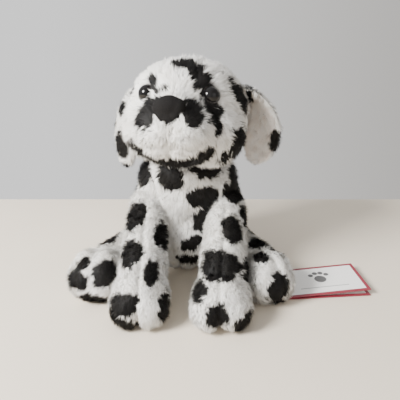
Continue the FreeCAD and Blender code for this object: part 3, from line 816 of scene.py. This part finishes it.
# A plain paw, in metres along the card: the pad and four toes as (x, y, radius)
PAW_MARK = ((0.029, 0.0185, 0.0042), (0.0235, 0.0237, 0.0018), (0.0272, 0.0260, 0.0019),
            (0.0312, 0.0260, 0.0019), (0.0348, 0.0237, 0.0018))


def card_material(name, tilt):
    """White coated card with a dark red edge band, a plain paw and one rule, laid out along the card."""
    m, shader = principled(name, (0.86, 0.85, 0.83), 0.35, coat=0.15)
    place = add(m, "ShaderNodeTexCoord")
    turn = add(m, "ShaderNodeMapping", vector_type="TEXTURE")
    turn.inputs["Location"].default_value = CARD_CORNER
    turn.inputs["Rotation"].default_value = (0, math.radians(-tilt), math.radians(5))
    link(m, place.outputs["Object"], turn.inputs["Vector"])
    parts = add(m, "ShaderNodeSeparateXYZ")
    link(m, turn.outputs["Vector"], parts.inputs["Vector"])
    x, y = parts.outputs["X"], parts.outputs["Y"]
    from_x = value(m, "MINIMUM", x, value(m, "SUBTRACT", CARD_LONG, x))
    from_y = value(m, "MINIMUM", y, value(m, "SUBTRACT", CARD_WIDE, y))
    band = value(m, "LESS_THAN", value(m, "MINIMUM", from_x, from_y), CARD_BAND)
    motif = None
    for cx, cy, r in PAW_MARK:
        away = value(m, "POWER", value(m, "ADD", value(m, "POWER", value(m, "SUBTRACT", x, cx), 2.0),
                                      value(m, "POWER", value(m, "SUBTRACT", y, cy), 2.0)), 0.5)
        spot = value(m, "LESS_THAN", away, r)
        motif = spot if motif is None else value(m, "MAXIMUM", motif, spot)
    rule = value(m, "MULTIPLY", within(m, y, 0.0085, 0.0004), within(m, x, 0.029, 0.017))
    grain = noise_node(m, 700.0)
    paper = add(m, "ShaderNodeValToRGB")
    paper.color_ramp.elements[0].color = (0.80, 0.79, 0.77, 1)
    paper.color_ramp.elements[1].color = (0.90, 0.89, 0.87, 1)
    link(m, grain.outputs["Fac"], paper.inputs["Fac"])
    color = paper.outputs["Color"]
    for mask, ink in ((motif, (0.10, 0.10, 0.10, 1)), (rule, (0.35, 0.35, 0.35, 1)),
                      (band, (0.24, 0.022, 0.04, 1))):
        mix = add(m, "ShaderNodeMix", data_type="RGBA")
        mix.inputs["B"].default_value = ink
        link(m, mask, mix.inputs["Factor"])
        link(m, color, mix.inputs["A"])
        color = mix.outputs["Result"]
    link(m, color, shader.inputs["Base Color"])
    bump(m, shader, grain.outputs["Fac"], 0.15, 0.0002)
    return m


dress(["tag_front_leaf"], card_material("card_front", 3.5))
dress(["tag_back_leaf"], card_material("card_back", 0.0))


def label_material():
    """Dark red satin with a fine weave and a paler woven stripe near its end."""
    m, shader = principled("label_satin", (0.22, 0.02, 0.03), 0.45, 0.4, 0.3)
    place = add(m, "ShaderNodeTexCoord")
    weave = add(m, "ShaderNodeTexWave")
    weave.inputs["Scale"].default_value = 900.0
    weave.inputs["Distortion"].default_value = 1.0
    link(m, place.outputs["Object"], weave.inputs["Vector"])
    ramp = add(m, "ShaderNodeValToRGB")
    ramp.color_ramp.elements[0].color = (0.15, 0.012, 0.02, 1)
    ramp.color_ramp.elements[1].color = (0.30, 0.035, 0.05, 1)
    link(m, weave.outputs["Fac"], ramp.inputs["Fac"])
    parts = add(m, "ShaderNodeSeparateXYZ")
    link(m, place.outputs["Object"], parts.inputs["Vector"])
    stripe = within(m, parts.outputs["X"], 0.0575, 0.0007)
    mix = add(m, "ShaderNodeMix", data_type="RGBA")
    mix.inputs["B"].default_value = (0.62, 0.50, 0.48, 1)
    link(m, stripe, mix.inputs["Factor"])
    link(m, ramp.outputs["Color"], mix.inputs["A"])
    link(m, mix.outputs["Result"], shader.inputs["Base Color"])
    bump(m, shader, weave.outputs["Fac"], 0.4, 0.0002)
    return m


dress(["sewn_label"], label_material())

# ------------------------------------------------------------ floor, light, camera

# The table ends behind the dog, where the photograph's wall begins
TABLE_HALF, TABLE_BACK = 1.6, 0.118
floor = mesh_object(
    "floor",
    [(-TABLE_HALF, -TABLE_HALF, 0), (TABLE_HALF, -TABLE_HALF, 0),
     (TABLE_HALF, TABLE_BACK, 0), (-TABLE_HALF, TABLE_BACK, 0)],
    [(0, 1, 2, 3)],
    [tinted("table", (0.70, 0.62, 0.51), (0.78, 0.70, 0.585), 0.5, 9.0, 0.0001)])

# A plain backdrop with painted shade: it darkens from one side to the other, as a wall does away from the light
world = bpy.data.worlds.new("room")
bpy.context.scene.world = world
world.use_nodes = True
shaded_backdrop = world.node_tree.nodes["Background"]
shaded_backdrop.inputs["Strength"].default_value = 1.08
parts = add(world, "ShaderNodeSeparateXYZ")
link(world, add(world, "ShaderNodeTexCoord").outputs["Generated"], parts.inputs["Vector"])
# Painted shade: the backdrop's colour runs from white on one side to grey on the other
ramp = add(world, "ShaderNodeValToRGB")
ramp.color_ramp.elements[0].color = (1.0, 1.0, 1.0, 1)
ramp.color_ramp.elements[1].color = (0.46, 0.44, 0.41, 1)
link(world, value(world, "ADD", value(world, "MULTIPLY", parts.outputs["X"], 1.1), 0.35), ramp.inputs["Fac"])
link(world, ramp.outputs["Color"], shaded_backdrop.inputs["Color"])


def area_light(name, at, to, size, energy, color):
    light = bpy.data.lights.new(name, "AREA")
    light.size, light.energy, light.color = size, energy, color
    o = bpy.data.objects.new(name, light)
    o.location = at
    o.rotation_euler = (Vector(to) - Vector(at)).to_track_quat("-Z", "Y").to_euler()
    bpy.context.collection.objects.link(o)


area_light("window", (-0.55, -0.42, 0.52), (0, -0.02, 0.06), 0.26, 21.0, (1.0, 0.985, 0.96))
area_light("fill", (0.60, -0.55, 0.35), (0, 0, 0.06), 0.6, 1.0, (0.97, 0.98, 1.0))

camera = bpy.data.cameras.new("camera")
camera.lens, camera.sensor_width = 40.5, 36.0
view = bpy.data.objects.new("camera", camera)
view.location = (0.009, -0.3184, 0.1755)
view.rotation_euler = (math.radians(90 - 22), 0, 0)
bpy.context.collection.objects.link(view)
bpy.context.scene.camera = view
